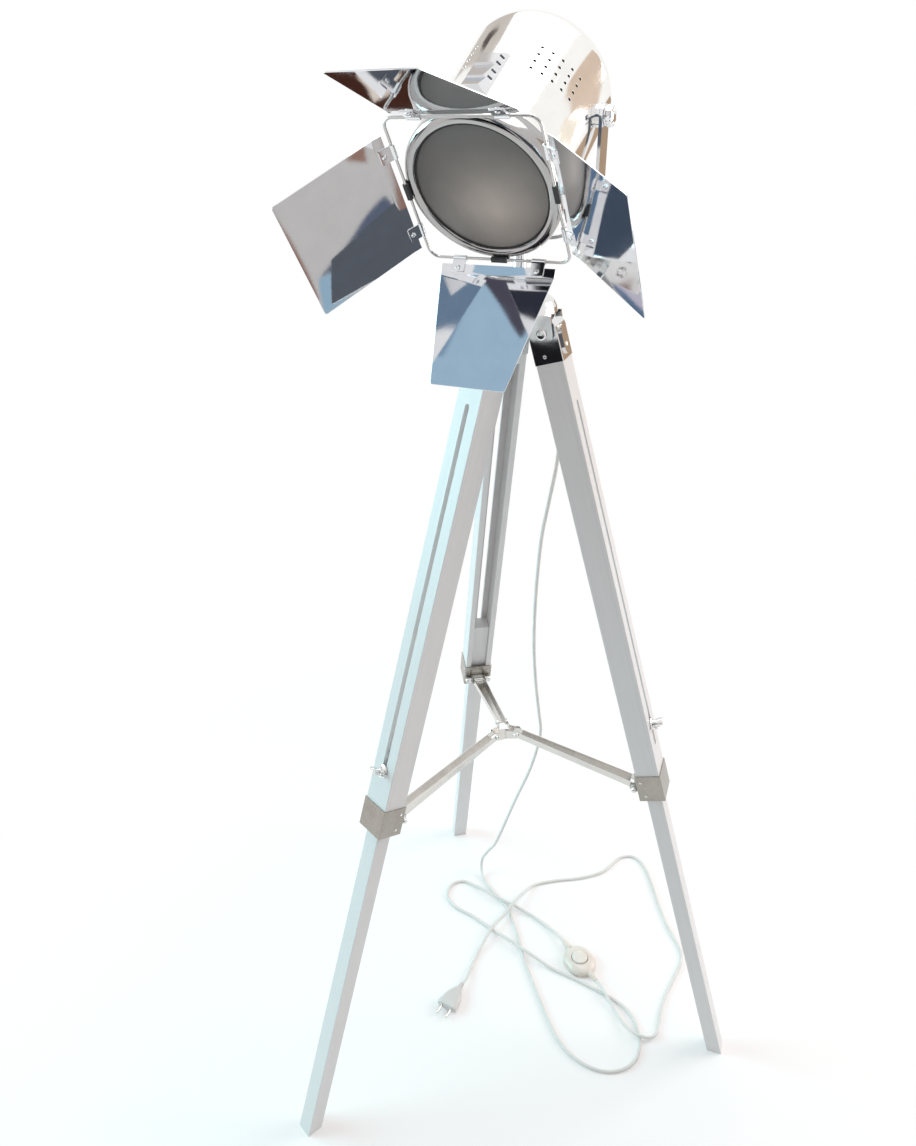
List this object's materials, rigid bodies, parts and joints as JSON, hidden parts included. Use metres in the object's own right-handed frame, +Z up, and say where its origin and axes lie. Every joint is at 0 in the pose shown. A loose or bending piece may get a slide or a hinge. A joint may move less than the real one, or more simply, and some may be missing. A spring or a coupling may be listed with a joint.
{
  "type": "tripod spotlight floor lamp",
  "caption": "Floor lamp: barrel spotlight with mirror barn doors on a tilting yoke, cast head, telescoping slotted tripod legs with folding spreader, mains cord with foot switch and plug.",
  "frame": {"origin": "on the floor at the middle of the lamp's box, the cord left out; the stem stands 47.6 mm ahead of it, towards -Y", "axes": "+Z up, along the longest extent; +Y towards the back leg; the lamp points to -X -Y and down"},
  "size_m": [0.7564, 0.7494, 1.6038],
  "materials": {
    "head_chrome": "polished",
    "cap_chrome": "polished",
    "leg_paint": "satin white lacquer",
    "collar_metal": "satin",
    "bolt_chrome": "polished",
    "spreader_metal": "bright zinc",
    "yoke_chrome": "polished",
    "barrel_chrome": "polished",
    "lens_glass": "frosted",
    "reflector_metal": "bright",
    "socket_plastic": "matte black",
    "bulb_glass": "frosted",
    "frame_chrome": "bright",
    "door_chrome": "mirror polished",
    "cord_plastic": "white",
    "switch_plastic": "white",
    "plug_plastic": "white",
    "pin_metal": "nickel"
  },
  "bodies": {
    "stand": {"tripod_head": "head_chrome", "stem": "head_chrome", "hinge_bolts": "head_chrome", "cable_gland": "socket_plastic", "cord": "cord_plastic", "cord_tail": "cord_plastic", "switch_body": "switch_plastic", "plug_body": "plug_plastic", "plug_pins": "pin_metal"},
    "leg_a": {"leg_cap_a": "cap_chrome", "upper_leg_a": "leg_paint", "collar_a": "collar_metal", "collar_bolts_a": "bolt_chrome"},
    "foot_a": {"lower_leg_a": "leg_paint", "lock_bolt_a": "bolt_chrome"},
    "wing_a": {"wing_nut_a": "bolt_chrome"},
    "arm_a": {"spreader_arm_a": "spreader_metal"},
    "leg_b": {"leg_cap_b": "cap_chrome", "upper_leg_b": "leg_paint", "collar_b": "collar_metal", "collar_bolts_b": "bolt_chrome"},
    "foot_b": {"lower_leg_b": "leg_paint", "lock_bolt_b": "bolt_chrome"},
    "wing_b": {"wing_nut_b": "bolt_chrome"},
    "arm_b": {"spreader_arm_b": "spreader_metal"},
    "leg_c": {"leg_cap_c": "cap_chrome", "upper_leg_c": "leg_paint", "collar_c": "collar_metal", "collar_bolts_c": "bolt_chrome"},
    "foot_c": {"lower_leg_c": "leg_paint", "lock_bolt_c": "bolt_chrome"},
    "wing_c": {"wing_nut_c": "bolt_chrome"},
    "arm_c": {"spreader_arm_c": "spreader_metal"},
    "hub": {"spreader_hub": "spreader_metal"},
    "yoke": {"yoke": "yoke_chrome"},
    "lamp": {"tilt_pivots": "yoke_chrome", "barrel": "barrel_chrome", "rear_dome": "barrel_chrome", "bezel": "barrel_chrome", "lens": "lens_glass", "reflector": "reflector_metal", "lamp_socket": "socket_plastic", "bulb": "bulb_glass", "top_cowl": "barrel_chrome", "door_frame": "frame_chrome", "frame_clips": "socket_plastic"},
    "knob_left": {"knob_left": "yoke_chrome"},
    "knob_right": {"knob_right": "yoke_chrome"},
    "door_top": {"door_top": "door_chrome"},
    "door_left": {"door_left": "door_chrome"},
    "door_bottom": {"door_bottom": "door_chrome"},
    "door_right": {"door_right": "door_chrome"},
    "button": {"switch_button": "switch_plastic"}
  },
  "joints": [
    {"name": "leg_a_fold", "type": "hinge", "parent": "stand", "child": "leg_a", "pos_m": [-0.03491, -0.06776, 1.24001], "axis": [0.5, -0.866, 0], "range_deg": [0, 8.5], "deforming": ["cord", "cord_tail"]},
    {"name": "spreader_a_swing", "type": "hinge", "parent": "leg_a", "child": "arm_a", "pos_m": [-0.19012, -0.15737, 0.54256], "axis": [0.5, -0.866, 0], "range_deg": [0, 45.55]},
    {"name": "leg_a_extend", "type": "slide", "parent": "leg_a", "child": "foot_a", "axis": [-0.2468, -0.1425, -0.9585], "range_m": [-0.48, 0.006]},
    {"name": "wing_a_turn", "type": "hinge", "parent": "foot_a", "child": "wing_a", "pos_m": [-0.21295, -0.17055, 0.63636], "axis": [-0.8301, -0.4793, 0.285], "continuous": true},
    {"name": "leg_b_fold", "type": "hinge", "parent": "stand", "child": "leg_b", "pos_m": [0.03491, -0.06776, 1.24001], "axis": [0.5, 0.866, 0], "range_deg": [0, 8.5]},
    {"name": "spreader_b_swing", "type": "hinge", "parent": "leg_b", "child": "arm_b", "pos_m": [0.19012, -0.15737, 0.54256], "axis": [0.5, 0.866, 0], "range_deg": [0, 45.55]},
    {"name": "leg_b_extend", "type": "slide", "parent": "leg_b", "child": "foot_b", "axis": [0.2468, -0.1425, -0.9585], "range_m": [-0.48, 0.006]},
    {"name": "wing_b_turn", "type": "hinge", "parent": "foot_b", "child": "wing_b", "pos_m": [0.20653, -0.16684, 0.66128], "axis": [0.8301, -0.4793, 0.285], "continuous": true},
    {"name": "leg_c_fold", "type": "hinge", "parent": "stand", "child": "leg_c", "pos_m": [0, -0.00728, 1.24001], "axis": [-1, 0, 0], "range_deg": [0, 8.5]},
    {"name": "spreader_c_swing", "type": "hinge", "parent": "leg_c", "child": "arm_c", "pos_m": [0, 0.17194, 0.54256], "axis": [-1, 0, 0], "range_deg": [0, 45.55]},
    {"name": "leg_c_extend", "type": "slide", "parent": "leg_c", "child": "foot_c", "axis": [0, 0.285, -0.9585], "range_m": [-0.48, 0.006]},
    {"name": "wing_c_turn", "type": "hinge", "parent": "foot_c", "child": "wing_c", "pos_m": [0, 0.1963, 0.64307], "axis": [0, 0.9585, 0.285], "continuous": true},
    {"name": "spreader_hub_rise", "type": "slide", "parent": "stand", "child": "hub", "axis": [0, 0, 1], "range_m": [0, 0.1356]},
    {"name": "head_pan", "type": "hinge", "parent": "stand", "child": "yoke", "pos_m": [0, -0.0476, 1.357], "axis": [0, 0, 1], "range_deg": [-170, 170]},
    {"name": "head_tilt", "type": "hinge", "parent": "yoke", "child": "lamp", "pos_m": [0, -0.0476, 1.495], "axis": [0.8095, -0.5871, 0], "range_deg": [-90, 5]},
    {"name": "knob_left_turn", "type": "hinge", "parent": "lamp", "child": "knob_left", "pos_m": [-0.08905, 0.01698, 1.495], "axis": [-0.8095, 0.5871, 0], "continuous": true},
    {"name": "knob_right_turn", "type": "hinge", "parent": "lamp", "child": "knob_right", "pos_m": [0.08905, -0.11218, 1.495], "axis": [0.8095, -0.5871, 0], "continuous": true},
    {"name": "door_top_swing", "type": "hinge", "parent": "lamp", "child": "door_top", "pos_m": [-0.1064, -0.188, 1.49026], "axis": [0.796, -0.6044, 0.0336], "range_deg": [-44, 51]},
    {"name": "door_left_swing", "type": "hinge", "parent": "lamp", "child": "door_left", "pos_m": [-0.14733, -0.09333, 1.4098], "axis": [-0.3535, -0.4191, 0.8363], "range_deg": [-57, 38]},
    {"name": "door_bottom_swing", "type": "hinge", "parent": "lamp", "child": "door_bottom", "pos_m": [-0.041, -0.11046, 1.33555], "axis": [-0.796, 0.6044, -0.0336], "range_deg": [-22, 25]},
    {"name": "door_right_swing", "type": "hinge", "parent": "lamp", "child": "door_right", "pos_m": [-0.00007, -0.20514, 1.41602], "axis": [0.3535, 0.4191, -0.8363], "range_deg": [-39, 56]},
    {"name": "switch_press", "type": "slide", "parent": "stand", "child": "button", "axis": [0, 0, -1], "range_m": [0, 0.0025], "stiffness_N_per_m": 800, "springref_m": -0.0005}
  ],
  "couplings": [
    {"joint": "spreader_a_swing", "follows": "leg_a_fold", "ratio": 5.3},
    {"joint": "leg_b_fold", "follows": "leg_a_fold", "ratio": 1},
    {"joint": "spreader_b_swing", "follows": "leg_a_fold", "ratio": 5.3},
    {"joint": "leg_c_fold", "follows": "leg_a_fold", "ratio": 1},
    {"joint": "spreader_c_swing", "follows": "leg_a_fold", "ratio": 5.3},
    {"joint": "spreader_hub_rise", "follows": "leg_a_fold", "m_per_rad": 0.9075}
  ]
}
